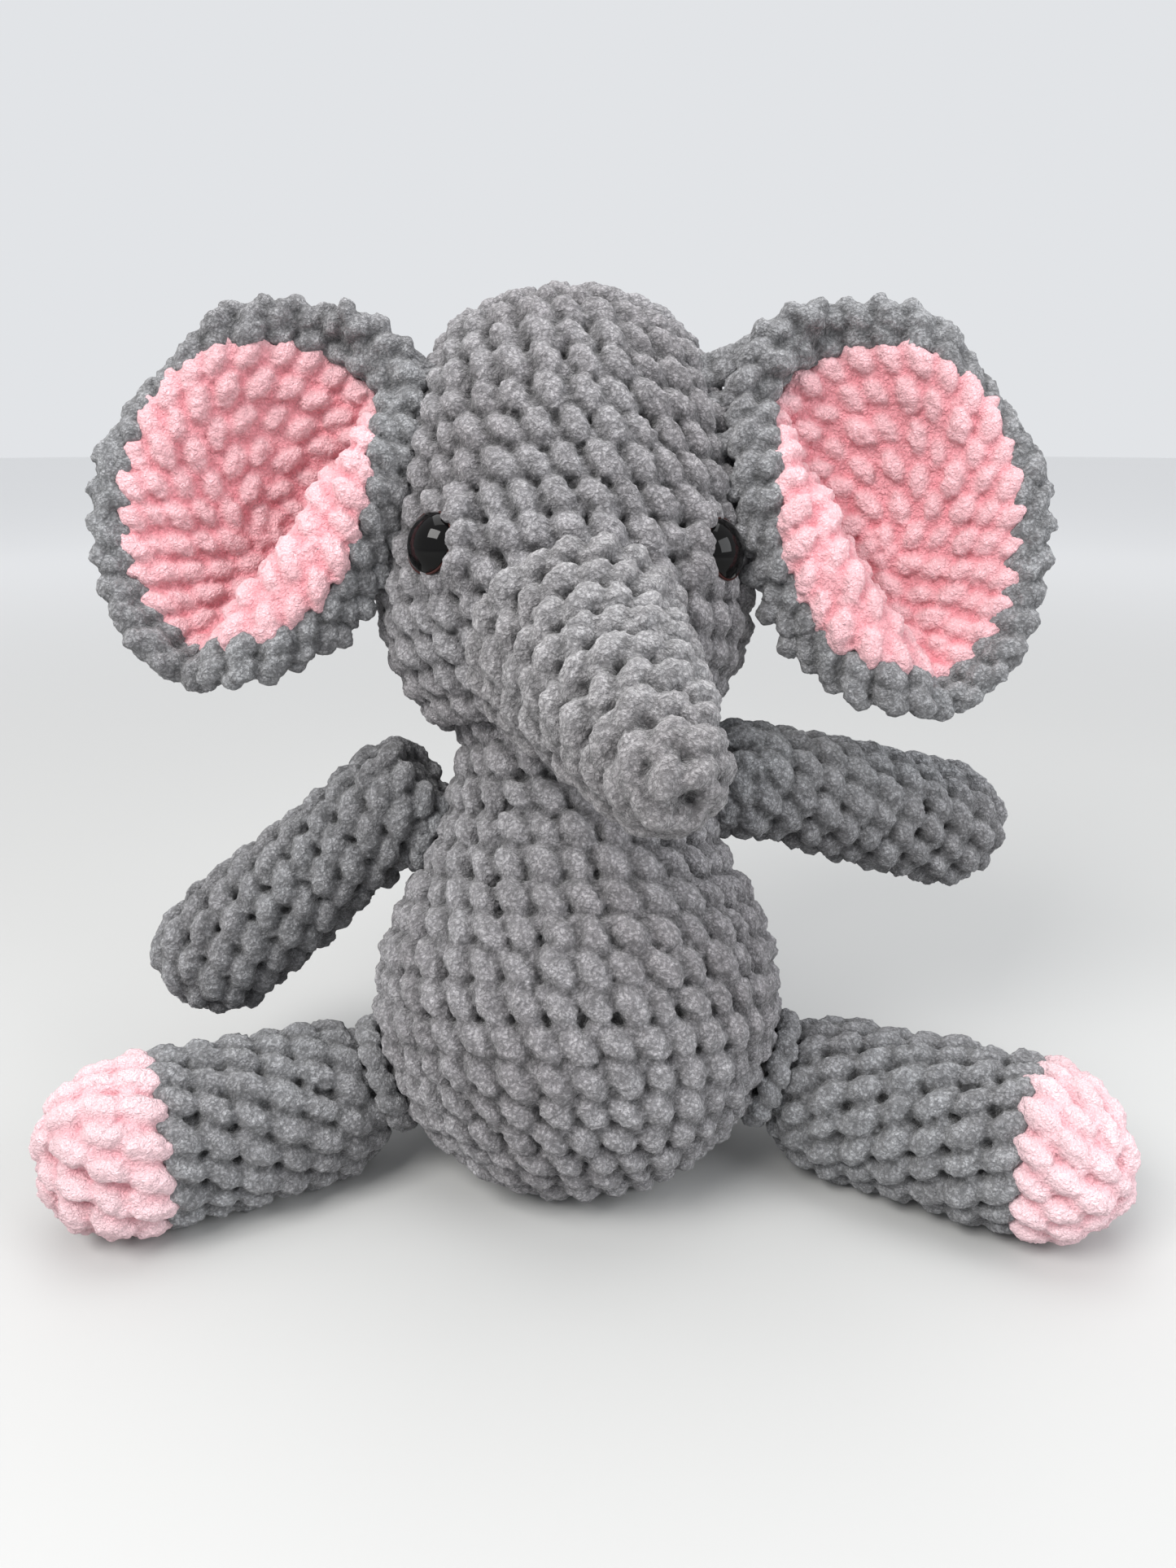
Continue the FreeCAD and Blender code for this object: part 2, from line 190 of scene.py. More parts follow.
def fluffed(points, normals, seed):
    """Chenille pile: uneven tufts a few millimetres across and fine fluff on them."""
    shift = Vector((seed * 3.1, seed * 1.7, seed * 2.3))
    lift = np.empty(len(points))
    for i, p in enumerate(points.tolist()):
        v = Vector(p)
        lift[i] = (PILE_COARSE[0] * noise.noise(v * PILE_COARSE[1] + shift)
                   + PILE_FINE[0] * noise.noise(v * PILE_FINE[1] + shift))
    return points + normals * (lift * MM)[:, None]


def crease_height(co, edges, normals, steps):
    """How far each vertex stands above (or, in a crease, below) the surface smoothed over a stitch."""
    count = len(co)
    ends, starts = edges[:, 1], edges[:, 0]
    share = np.bincount(edges.ravel(), minlength=count)[:, None]
    smooth = co.copy()
    for _ in range(steps):
        total = np.empty_like(smooth)
        for axis in range(3):
            total[:, axis] = (np.bincount(starts, smooth[ends, axis], count)
                              + np.bincount(ends, smooth[starts, axis], count))
        smooth = 0.4 * smooth + 0.6 * total / share
    return ((co - smooth) * normals).sum(axis=1)


def fused(name, shapes, material, seed, floor=None, voxel=VOXEL):
    """Stitches and core made into one closed fabric surface, with its pile."""
    points, faces = joined(shapes)
    raw = mesh_object(name + "_raw", points, faces)
    remesh = raw.modifiers.new("fuse", "REMESH")
    remesh.mode = "VOXEL"
    remesh.voxel_size = voxel
    remesh.use_smooth_shade = True
    depsgraph = bpy.context.evaluated_depsgraph_get()
    mesh = bpy.data.meshes.new_from_object(raw.evaluated_get(depsgraph))
    bpy.data.objects.remove(raw)
    mesh.name = name
    count = len(mesh.vertices)
    co = np.empty(count * 3)
    mesh.vertices.foreach_get("co", co)
    normals = np.empty(count * 3)
    mesh.vertex_normals.foreach_get("vector", normals)
    co, normals = co.reshape(-1, 3), normals.reshape(-1, 3)
    edges = np.empty(len(mesh.edges) * 2, dtype=np.int32)
    mesh.edges.foreach_get("vertices", edges)
    # crease depth kept on the mesh; the yarn materials turn it into painted shade in the creases
    height = crease_height(co, edges.reshape(-1, 2), normals, round((CREASE_REACH / voxel) ** 2))
    crease_shade = mesh.attributes.new("crease_shade", "FLOAT", "POINT")
    crease_shade.data.foreach_set("value", np.clip(0.5 + height / CREASE_RANGE, 0, 1).astype(np.float32))
    co = fluffed(co, normals, seed)
    if floor is not None:
        co[:, 2] = np.maximum(co[:, 2], floor)
    mesh.vertices.foreach_set("co", co.ravel())
    mesh.update()
    mesh.materials.clear()
    mesh.materials.append(material)
    obj = bpy.data.objects.new(name, mesh)
    bpy.context.scene.collection.objects.link(obj)
    return obj


# ---- forms of revolution ----

class Form:
    """Round form about an axis: a profile of (radius, height) points, from one end to the other."""

    def __init__(self, origin, axis, profile, x_hint=Vector((1, 0, 0))):
        self.origin = Vector(origin)
        self.ez = Vector(axis).normalized()
        self.ex = (x_hint - self.ez * self.ez.dot(x_hint)).normalized()
        self.ey = self.ez.cross(self.ex)
        self.profile = np.array(profile)
        steps = np.linalg.norm(np.diff(self.profile, axis=0), axis=1)
        self.lengths = np.concatenate([[0.0], np.cumsum(steps)])
        self.total = self.lengths[-1]

    def at(self, s):
        """Radius, height and slope at arc length s."""
        radii, heights = self.profile[:, 0], self.profile[:, 1]
        r = float(np.interp(s, self.lengths, radii))
        z = float(np.interp(s, self.lengths, heights))
        s0, s1 = max(s - SLOPE_STEP, 0.0), min(s + SLOPE_STEP, self.total)
        dr = np.interp(s1, self.lengths, radii) - np.interp(s0, self.lengths, radii)
        dz = np.interp(s1, self.lengths, heights) - np.interp(s0, self.lengths, heights)
        length = math.hypot(dr, dz) or 1.0
        return r, z, dr / length, dz / length

    def spot(self, s, angle):
        """Point, outward normal, direction of the round and direction of work at (s, angle)."""
        r, z, dr, dz = self.at(s)
        out = self.ex * math.cos(angle) + self.ey * math.sin(angle)
        way = out * dr + self.ez * dz
        side = self.ez.cross(out)
        outward = out * (-dz) + self.ez * dr
        sign = -1.0 if self.profile[-1, 1] > self.profile[0, 1] else 1.0
        return self.origin + out * r + self.ez * z, (outward * sign).normalized(), side, way

    def core(self, depth, spokes=64):
        """Closed surface a little inside the form."""
        rows = []
        for s in np.linspace(0.0, self.total, CORE_ROWS):
            ring = []
            for k in range(spokes):
                p, n, _, _ = self.spot(s, 2 * math.pi * k / spokes)
                ring.append(p - n * depth)
            rows.append(ring)
        points = [p for ring in rows for p in ring]
        faces = []
        for i in range(len(rows) - 1):
            for k in range(spokes):
                k2 = (k + 1) % spokes
                a, b = i * spokes, (i + 1) * spokes
                faces += [(a + k, a + k2, b + k2), (a + k, b + k2, b + k)]
        for ring_start in (0, (len(rows) - 1) * spokes):
            points.append(sum((points[ring_start + k] for k in range(spokes)), Vector()) / spokes)
            tip = len(points) - 1
            faces += [(tip, ring_start + k, ring_start + (k + 1) % spokes) for k in range(spokes)]
        return np.array([tuple(p) for p in points]), np.array(faces)


def stitch(spot, slant, scale=1.0, stretch=1.0, fat=1.0):
    """One stitch: its plump slanted strand and the smaller one tucked beside it."""
    point, normal, side, way = spot
    angle = math.radians(slant + rng.uniform(-SLANT_SPREAD, SLANT_SPREAD))
    grow = scale * rng.uniform(GROW_LOW, GROW_HIGH)
    along = side * math.cos(angle) + way * math.sin(angle)
    centre = point - normal * (SINK + rng.uniform(-DEPTH_SPREAD, DEPTH_SPREAD) * MM)
    centre = centre + side * rng.uniform(-PLACE_SPREAD, PLACE_SPREAD) * MM
    strand = lump(centre, along, normal,
                  (STITCH_LONG * grow * stretch, STITCH_HALF * grow * fat, STITCH_PLUMP * grow))
    angle = math.radians(180 - slant + rng.uniform(-TUCK_SPREAD, TUCK_SPREAD))
    along = side * math.cos(angle) + way * math.sin(angle)
    beside = (centre + side * (TUCK_ASIDE * STITCH_WIDE * scale)
              + way * (TUCK_AHEAD * ROUND_TALL * scale) - normal * TUCK_SINK)
    return [strand, lump(beside, along, normal, [half * grow for half in TUCK_HALVES])]


def rounds(form, start, stop, slant, scale=1.0, stretch=1.0, tall=ROUND_TALL, fat=1.0):
    """Stitches of all rounds from arc length start to stop."""
    shapes = []
    count = max(1, round((stop - start) / (tall * scale)))
    step = (stop - start) / count
    offset = 0.0
    for k in range(count):
        s = start + (k + 0.5) * step
        around = max(4, round(2 * math.pi * max(form.at(s)[0], 3 * MM) / (STITCH_WIDE * scale)))
        offset += ROUND_SHIFT + rng.uniform(-0.1, 0.1)
        for i in range(around):
            spot = form.spot(s + rng.uniform(-0.7, 0.7) * MM, 2 * math.pi * (i + offset) / around)
            shapes += stitch(spot, slant, scale, stretch, fat)
    return shapes


# ---- materials ----

# Sockets of a mix node that mixes colours
MIX_A, MIX_B, MIX_RESULT = 6, 7, 2

# Frequencies per metre in the yarn: its curl, tufts, fibres, clumps of tufts and drift in the dye
CURL, TUFTS, FIBRES, CLUMPS, DYE_DRIFT = 260.0, 640.0, 1500.0, 190.0, 14.0
CURL_PULL = 3.2 * MM          # how far the curl pulls the tufts about
TUFT_DEPTH = 1.3 * MM


def ramp_node(nodes, stops):
    """Colour ramp of (position, grey level or colour) stops."""
    node = nodes.new("ShaderNodeValToRGB")
    elements = node.color_ramp.elements
    for (position, level), element in zip(stops, (elements[0], elements[1])):
        element.position = position
        element.color = (*(level if isinstance(level, tuple) else (level,) * 3), 1.0)
    return node


def yarn_material(name, colour, sheen, crease_shade, gap_shade, tip_highlight, clump_low):
    """Chenille: tuft tips painted lighter as a painted highlight, painted shade in the gaps between tufts
    and stitches, and slow drift in the dye.

    The gap and tip factors scale the colour as painted shade between the tufts and painted highlight at
    their tips, clump_low scales it in its darker clumps, and the crease factor gives painted shade in the
    deepest creases.
    """
    material = bpy.data.materials.new(name)
    material.use_nodes = True
    nodes, links = material.node_tree.nodes, material.node_tree.links
    bsdf = nodes["Principled BSDF"]
    bsdf.inputs["Roughness"].default_value = 0.95
    bsdf.inputs["Specular IOR Level"].default_value = 0.12
    bsdf.inputs["Sheen Weight"].default_value = sheen
    bsdf.inputs["Sheen Roughness"].default_value = 0.45
    coords = nodes.new("ShaderNodeTexCoord")

    def noise_node(scale, detail, distortion=0.0):
        node = nodes.new("ShaderNodeTexNoise")
        node.inputs["Scale"].default_value = scale
        node.inputs["Detail"].default_value = detail
        node.inputs["Distortion"].default_value = distortion
        links.new(coords.outputs["Object"], node.inputs["Vector"])
        return node

    def times(a, b):
        node = nodes.new("ShaderNodeMix")
        node.data_type = "RGBA"
        node.blend_type = "MULTIPLY"
        node.inputs["Factor"].default_value = 1.0
        links.new(a, node.inputs[MIX_A])
        links.new(b, node.inputs[MIX_B])
        return node.outputs[MIX_RESULT]

    # curled tufts: cells about a millimetre and a half across, pulled about by noise
    curl = noise_node(CURL, 2.0)
    pull = nodes.new("ShaderNodeVectorMath")
    pull.operation = "MULTIPLY_ADD"
    pull.inputs[1].default_value = (CURL_PULL,) * 3
    links.new(curl.outputs["Color"], pull.inputs[0])
    links.new(coords.outputs["Object"], pull.inputs[2])
    cells = nodes.new("ShaderNodeTexVoronoi")
    cells.feature = "F1"
    cells.inputs["Scale"].default_value = TUFTS
    links.new(pull.outputs["Vector"], cells.inputs["Vector"])
    fibres = noise_node(FIBRES, 2.0, 0.8)
    tuft = nodes.new("ShaderNodeMath")
    tuft.operation = "MULTIPLY_ADD"
    tuft.inputs[1].default_value = -0.75
    links.new(cells.outputs["Distance"], tuft.inputs[0])
    links.new(fibres.outputs["Fac"], tuft.inputs[2])
    # painted shade and painted highlight: the tint follows the tufts' height, darker in the low gaps
    # between tufts and lighter on their raised tips
    tint = ramp_node(nodes, [(0.0, tuple(c * gap_shade for c in colour)),
                             (0.42, tuple(min(1.0, c * tip_highlight) for c in colour))])
    links.new(tuft.outputs["Value"], tint.inputs["Fac"])
    clumps = noise_node(CLUMPS, 2.0)
    clump = ramp_node(nodes, [(0.36, clump_low), (0.62, 1.0)])
    links.new(clumps.outputs["Fac"], clump.inputs["Fac"])
    drift = noise_node(DYE_DRIFT, 2.0)
    dye = ramp_node(nodes, [(0.38, (0.84, 0.82, 0.82)), (0.62, 1.0)])
    links.new(drift.outputs["Fac"], dye.inputs["Fac"])
    # painted shade: the stored crease depth darkens the colour in the creases between stitches, down to the
    # crease factor times the colour
    depth = nodes.new("ShaderNodeAttribute")
    depth.attribute_name = "crease_shade"
    shade = ramp_node(nodes, [(0.12, crease_shade), (0.66, 1.0)])
    links.new(depth.outputs["Fac"], shade.inputs["Fac"])
    mixed = tint.outputs["Color"]
    for layer in (clump, dye, shade):
        mixed = times(mixed, layer.outputs["Color"])
    links.new(mixed, bsdf.inputs["Base Color"])
    bump = nodes.new("ShaderNodeBump")
    bump.inputs["Strength"].default_value = 1.0
    bump.inputs["Distance"].default_value = TUFT_DEPTH
    links.new(tuft.outputs["Value"], bump.inputs["Height"])
    links.new(bump.outputs["Normal"], bsdf.inputs["Normal"])
    return material


def plastic_material(name, colour, roughness, coat):
    """Moulded plastic with a faint unevenness in its polish."""
    material = bpy.data.materials.new(name)
    material.use_nodes = True
    nodes, links = material.node_tree.nodes, material.node_tree.links
    bsdf = nodes["Principled BSDF"]
    bsdf.inputs["Specular IOR Level"].default_value = 0.11
    bsdf.inputs["Coat Weight"].default_value = coat
    bsdf.inputs["Coat Roughness"].default_value = 0.03
    coords = nodes.new("ShaderNodeTexCoord")
    cloud = nodes.new("ShaderNodeTexNoise")
    cloud.inputs["Scale"].default_value = 90.0
    links.new(coords.outputs["Object"], cloud.inputs["Vector"])
    tint = ramp_node(nodes, [(0.0, tuple(c * 0.8 for c in colour)), (1.0, tuple(c * 1.2 for c in colour))])
    links.new(cloud.outputs["Fac"], tint.inputs["Fac"])
    links.new(tint.outputs["Color"], bsdf.inputs["Base Color"])
    polish = nodes.new("ShaderNodeMapRange")
    polish.inputs["To Min"].default_value = roughness * 0.7
    polish.inputs["To Max"].default_value = roughness * 1.3
    links.new(cloud.outputs["Fac"], polish.inputs["Value"])
    links.new(polish.outputs["Result"], bsdf.inputs["Roughness"])
    return material


# after colour and sheen: the painted shade in creases, the painted shade between tufts, the painted
# highlight on tuft tips, and the darker clumps
GREY = yarn_material("grey_chenille", (0.375, 0.366, 0.382), 0.25, 0.09, 0.60, 1.30, 0.64)
TRUNK_GREY = yarn_material("trunk_chenille", (0.370, 0.361, 0.372), 0.30, 0.09, 0.60, 1.30, 0.64)
SLATE = yarn_material("slate_chenille", (0.340, 0.344, 0.358), 0.22, 0.08, 0.60, 1.30, 0.64)
PINK = yarn_material("pink_chenille", (0.97, 0.56, 0.60), 0.12, (0.93, 0.47, 0.52), 0.86, 1.08, 0.94)
SOLE_PINK = yarn_material("sole_chenille", (0.97, 0.68, 0.72), 0.12, (0.93, 0.60, 0.64), 0.90, 1.06, 0.96)
EYE_BLACK = plastic_material("eye_black", (0.002, 0.0018, 0.0018), 0.05, 0.12)
EYE_EDGE = plastic_material("eye_edge", (0.040, 0.012, 0.010), 0.20, 0.2)
WASHER = plastic_material("washer_plastic", (0.62, 0.62, 0.60), 0.4, 0.0)


# ---- camera, light and floor ----

CAMERA_AT = (0.004, -0.4527, 0.3034)
CAMERA_LEAN = math.radians(17.0)    # down from level
SENSOR, LENS = 36.0, 36.12          # millimetres
LIGHTS = [    # name, place, what it points at, size, power, colour
    ("key", (-0.75, -0.95, 1.35), (0, 0, 0.18), (0.9, 0.7), 32.0, (1.0, 0.99, 0.97)),
    ("fill", (1.1, -0.7, 0.8), (0, 0, 0.18), (0.9, 0.9), 13.0, (0.96, 0.98, 1.0)),
    ("top", (0.0, 0.25, 1.5), (0, 0, 0.15), (1.2, 1.2), 12.0, (1, 1, 1)),
]
SKY, SKY_POWER = (0.95, 0.97, 1.0), 0.80
PAINTED_LIGHT_FADE = (0.50, 2.8)            # painted light: metres from the toy over which the floor is painted paler, standing in for light where the lamps' light falls off
# colour of the far floor, painted pale as painted light
FAR_PAINTED_LIGHT = 0.88


def look_matrix(place, way):
    z = -Vector(way).normalized()
    x = Vector((0, 0, 1)).cross(z).normalized()
    y = z.cross(x)
    return Matrix.Translation(place) @ Matrix((x, y, z)).transposed().to_4x4()


def make_camera():
    data = bpy.data.cameras.new("camera")
    data.sensor_fit = "HORIZONTAL"
    data.sensor_width = SENSOR
    data.lens = LENS
    data.clip_start = 0.01
    camera = bpy.data.objects.new("camera", data)
    bpy.context.scene.collection.objects.link(camera)
    camera.matrix_world = look_matrix(Vector(CAMERA_AT), (0, math.cos(CAMERA_LEAN), -math.sin(CAMERA_LEAN)))
    bpy.context.scene.camera = camera


def area_light(name, place, target, size, power, colour):
    data = bpy.data.lights.new(name, "AREA")
    data.shape = "RECTANGLE"
    data.size, data.size_y = size
    data.energy = power
    data.color = colour
    light = bpy.data.objects.new(name, data)
    bpy.context.scene.collection.objects.link(light)
    light.matrix_world = look_matrix(Vector(place), Vector(target) - Vector(place))


def make_floor():
    """Wide plain floor with a faint unevenness of tone, painted paler far off as painted light so that it
    is as pale as the light behind it.
    """
    material = bpy.data.materials.new("pale_floor")
    material.use_nodes = True
    nodes, links = material.node_tree.nodes, material.node_tree.links
    bsdf = nodes["Principled BSDF"]
    bsdf.inputs["Roughness"].default_value = 0.9
    grain = nodes.new("ShaderNodeTexNoise")
    grain.inputs["Scale"].default_value = 3.0
    tone = ramp_node(nodes, [(0.3, (0.42, 0.42, 0.415)), (0.7, (0.45, 0.45, 0.445))])
    links.new(grain.outputs["Fac"], tone.inputs["Fac"])
    coords = nodes.new("ShaderNodeTexCoord")
    reach = nodes.new("ShaderNodeVectorMath")
    reach.operation = "LENGTH"
    links.new(coords.outputs["Object"], reach.inputs[0])
    # painted light: the floor's colour grows paler with distance from the toy
    painted_light_fade = nodes.new("ShaderNodeMapRange")
    painted_light_fade.interpolation_type = "SMOOTHSTEP"
    painted_light_fade.inputs["From Min"].default_value = PAINTED_LIGHT_FADE[0]
    painted_light_fade.inputs["From Max"].default_value = PAINTED_LIGHT_FADE[1]
    links.new(reach.outputs["Value"], painted_light_fade.inputs["Value"])
    blend = nodes.new("ShaderNodeMix")
    blend.data_type = "RGBA"
    links.new(painted_light_fade.outputs["Result"], blend.inputs["Factor"])
    links.new(tone.outputs["Color"], blend.inputs[MIX_A])
    blend.inputs[MIX_B].default_value = (*[FAR_PAINTED_LIGHT] * 3, 1.0)
    links.new(blend.outputs[MIX_RESULT], bsdf.inputs["Base Color"])
    spokes = 96
    rim = [(FLOOR_R * math.cos(2 * math.pi * k / spokes), FLOOR_R * math.sin(2 * math.pi * k / spokes), 0.0)
           for k in range(spokes)]
    faces = [(k, (k + 1) % spokes, spokes) for k in range(spokes)]
    floor = mesh_object("floor", np.array(rim + [(0.0, 0.0, 0.0)]), np.array(faces))
    floor.data.materials.append(material)


def make_light():
    bpy.context.scene.view_settings.view_transform = "Standard"
    world = bpy.data.worlds.new("studio")
    bpy.context.scene.world = world
    world.use_nodes = True
    background = world.node_tree.nodes["Background"]
    background.inputs["Color"].default_value = (*SKY, 1)
    background.inputs["Strength"].default_value = SKY_POWER
    for light in LIGHTS:
        area_light(*light)


# ---- body, head, trunk and limbs ----

BODY_AXIS = joint_axis("head_turn")
NECK = joint_at("head_turn")


def arc_points(centre, radius, start, stop, count=16):
    return [(centre[0] + radius * math.cos(math.radians(a)), centre[1] + radius * math.sin(math.radians(a)))
            for a in np.linspace(start, stop, count)]


def body_form():
    """Pear about the body's axis, with heights from the belly's centre: base, belly, hollow neck."""
    low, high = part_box("body_cover")
    belly = (high[0] - low[0]) / 2.0 - 2.5 * MM
    neck_r, neck_rise = 50.0 * MM, 22.0 * MM
    pivot_z = 87.0 * MM
    neck_z = pivot_z + neck_rise
    hollow = (neck_r ** 2 + neck_z ** 2 - belly ** 2) / (2 * (belly - neck_r))
    centre = (neck_r + hollow, neck_z)
    tangent = math.degrees(math.atan2(centre[1], centre[0]))
    profile = arc_points((0, 0), belly, -89.0, tangent, 40)
    profile += arc_points(centre, hollow, tangent + 180.0, 180.0, 16)[1:]
    profile += [(neck_r - 1 * MM, neck_z + 6 * MM), (neck_r - 6 * MM, neck_z + 12 * MM)]
    return Form(NECK - BODY_AXIS * pivot_z, BODY_AXIS, profile)


def head_form():
    """Egg with a blunt crown, from the crown down to the neck; heights are from the neck's pivot."""
    cheek, crown_z, neck_r, neck_z = [v * MM for v in (77.0, 199.5, 50.0, 22.0)]
    jaw = (CHEEK_Z - neck_z) / math.sqrt(1 - (neck_r / cheek) ** 2)
    profile = []
    for k in range(30):
        a = math.radians(89.0 - 89.0 * k / 30)
        profile.append((cheek * math.cos(a) ** HEAD_SQUARE, CHEEK_Z + (crown_z - CHEEK_Z) * math.sin(a)))
    for k in range(16):
        a = math.acos(neck_r / cheek) * k / 15
        profile.append((cheek * math.cos(a), CHEEK_Z - jaw * math.sin(a)))
    return Form(NECK + Vector((HEAD_SHIFT, 0, 0)), BODY_AXIS, profile)


def limb_form(pivot, tip, root_r, tip_r):
    """Cone with a blunt root about the pivot and a round tip."""
    way = tip - pivot
    length = way.length - tip_r
    profile = [(root_r * math.cos(a) ** ROOT_BLUNT, ROOT_FLAT * root_r * math.sin(a))
               for a in np.radians(np.linspace(-80.0, 0.0, 12))]
    profile += [(root_r + (tip_r - root_r) * t, length * t) for t in np.linspace(0.0, 1.0, 24)[1:-1]]
    profile += arc_points((0, length), tip_r, 0.0, 88.0, 16)
    return Form(pivot, way, profile, Vector((0, 0, 1)))


def make_body():
    form = body_form()
    shapes = [form.core(CORE_DEPTH)]
    shapes += rounds(form, 6 * MM, form.total - 6 * MM, slant=-52.0)
    piece = fused("body", shapes, GREY, seed=1, floor=FLOOR_GAP)
    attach(piece, "torso")
    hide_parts("body_cover", "body_stuffing", "neck_stuffing")


def make_head():
    form = head_form()
    shapes = [form.core(CORE_DEPTH)]
    shapes += rounds(form, 4 * MM, form.total - 3 * MM, slant=50.0)
    for side, hand in (("left", 1), ("right", -1)):
        shapes += eyelid(side, hand)
    piece = fused("head", shapes, GREY, seed=2)
    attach(piece, "head")
    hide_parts("head_cover", "head_stuffing")


def eye_frame(side):
    """Middle of the edge of an eye's dome and the way it looks, from the CAD eye's axis and front."""
    points = node_points(f"{side}_safety_eye")
    middle = NECK + Vector((HEAD_SHIFT, 0, 0)) + BODY_AXIS * CHEEK_Z
    spread = points - points.mean(axis=0)
    axes = [Vector(row) for row in np.linalg.svd(spread, full_matrices=False)[2]]
    out = Vector(points.mean(axis=0)) - middle
    axis = max(axes, key=lambda a: abs(a.dot(out)))
    axis = axis if axis.dot(out) > 0 else -axis
    heights = spread @ np.array(axis)
    apex = Vector(points[heights > heights.max() - 0.4 * MM].mean(axis=0))
    return apex - axis * EYE_DOME, axis


def eyelid(side, hand):
    """Stitches of the face that lap over the inner edge of an eye."""
    base, axis = eye_frame(side)
    inward = Vector((-hand, 0, 0)) - axis * Vector((-hand, 0, 0)).dot(axis)
    inward.normalize()
    down = axis.cross(inward) * hand
    if down.z > 0:
        down = -down
    shapes = []
    for k in (-1, 0, 1):
        inset = EYE_R + (2.6 - 1.6 * abs(k)) * MM
        spot = base + inward * inset + down * k * LID_APART - axis * LID_SINK
        shapes.append(lump(spot, inward * 0.8 - down * 0.5, axis, LID_HALVES))
    return shapes


def make_trunk():
    pivot = joint_at("trunk_lift")
    tip = farthest("trunk_cover", pivot)
    way = tip - pivot
    profile = [(r * MM, z * MM) for r, z in TRUNK_PROFILE]
    profile += arc_points((0, way.length - TRUNK_TIP_R), TRUNK_TIP_R, 5.0, 88.0, 12)
    form = Form(pivot, way, profile, Vector((0, 0, 1)))
    shapes = [form.core(CORE_DEPTH)]
    shapes += rounds(form, 3 * MM, form.total - 3 * MM, slant=36.0, scale=0.98, stretch=0.92,
                     tall=14.6 * MM, fat=0.98)
    piece = fused("trunk", shapes, TRUNK_GREY, seed=3)
    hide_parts("trunk_cover", "trunk_stuffing", "trunk_seam")
    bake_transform(piece)


def make_arm(side):
    pivot = joint_at(f"{side}_arm_swing")
    tip = farthest(f"{side}_arm_cover", pivot)
    way = (tip - pivot).normalized()
    form = limb_form(pivot - way * ARM_TUCK, tip - way * ARM_SHORT, ARM_ROOT_R, ARM_TIP_R)
    shapes = [form.core(CORE_DEPTH)]
    shapes += rounds(form, 8 * MM, form.total - 3 * MM, slant=50.0 if side == "left" else -50.0)
    piece = fused(f"{side}_arm", shapes, SLATE, seed=4 if side == "left" else 5)
    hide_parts(f"{side}_arm_cover", f"{side}_arm_stuffing")
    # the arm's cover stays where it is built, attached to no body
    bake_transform(piece)


def make_leg(side):
    pivot = joint_at(f"{side}_leg_turn")
    tip = farthest(f"{side}_foot_sole", pivot)
    tip -= (tip - pivot).normalized() * FOOT_SHORT[side]
    way = (tip - pivot).normalized()
    form = limb_form(pivot, tip, LEG_ROOT_R, LEG_TIP_R)
    # the colour changes where the grey cover ends
    points = node_points(f"{side}_leg_cover")
    change = float(((points - np.array(pivot)) @ np.array(way)).max())
    change_s = float(np.interp(change, form.profile[:, 1], form.lengths))
    up = Vector((0, 0, 1))
    under = Form(form.origin, form.ez, [p for p in form.profile if p[1] < change + 5 * MM], up)
    grey = [under.core(CORE_DEPTH)]
    grey += rounds(form, 8 * MM, change_s, slant=50.0 if side == "right" else -50.0)
    piece = fused(f"{side}_leg", grey, SLATE, seed=6 if side == "left" else 7, floor=FLOOR_GAP)
    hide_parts(f"{side}_leg_cover", f"{side}_leg_stuffing")
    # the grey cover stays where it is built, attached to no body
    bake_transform(piece)
    pink = rounds(form, change_s - 2 * MM, form.total - 3 * MM, slant=62.0, stretch=1.05)
    cap = Form(form.origin, form.ez, [p for p in form.profile if p[1] > change - 2 * MM], up)
    pink.append(cap.core(CORE_DEPTH - 1.2 * MM))
    sole = fused(f"{side}_sole", pink, SOLE_PINK, seed=8 if side == "left" else 9, floor=FLOOR_GAP)
    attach(sole, f"{side}_leg")
    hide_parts(f"{side}_foot_sole")


# ---- ears ----

# Fold across an ear, from its edge by the head to its far edge: where each point of the flat disc comes to
# lie, in half widths, and how deep, in EAR_DEEP. A flap by the head hangs over a hollow.
FOLD_AT = [-1.05, -0.84, -0.68, -0.56, -0.46, -0.34, -0.16, 0.10, 0.45, 0.72, 0.88, 1.0, 1.05]
FOLD_ACROSS = [-1.02, -0.84, -0.62, -0.47, -0.43, -0.44, -0.30, -0.03, 0.38, 0.70, 0.90, 1.0, 1.01]
FOLD_DEEP = [0.26, -0.02, -0.14, 0.00, 0.36, 0.78, 0.98, 0.88, 0.52, 0.18, 0.10, 0.26, 0.40]
EAR_DEEP = 43.0 * MM
CORNER_AT, CORNER_SPAN, CORNER_OUT = 137.0, 27.0, 0.21    # degrees round the ear, and share of its radius
RING_STEPS = 48                 # steps round an ear by which its rounds are measured
EAR_SCALE = 0.92                # size of its stitches
PINK_ROUNDS = [0.06, 0.22, 0.38, 0.54, 0.69, 0.82]    # shares of the ear's radius, as are the next lines
PINK_END, BACK_END = 0.85, 0.88
BORDER_START, BORDER_END = 0.86, 0.985
BORDER_ROUNDS = [0.905, 0.985]
ROOT_REACH = [4, 4, 3, 2, 1]    # stitches across the ear's root, from its top down
ROOT_ROWS, ROOT_TOP, ROOT_STEP = 9, 118, 12    # rows down the root, and degrees to the first and between
ROOT_HALVES = (8.0 * MM, 5.6 * MM, 5.6 * MM)
# half width, half height and outward shift in mm, then the lean of the fold and of the ear in degrees
EAR_SHAPE = {"left": (54.5, 80.0, -1.0, 26.0, 0.0), "right": (54.5, 75.5, -5.5, 22.0, 7.0)}


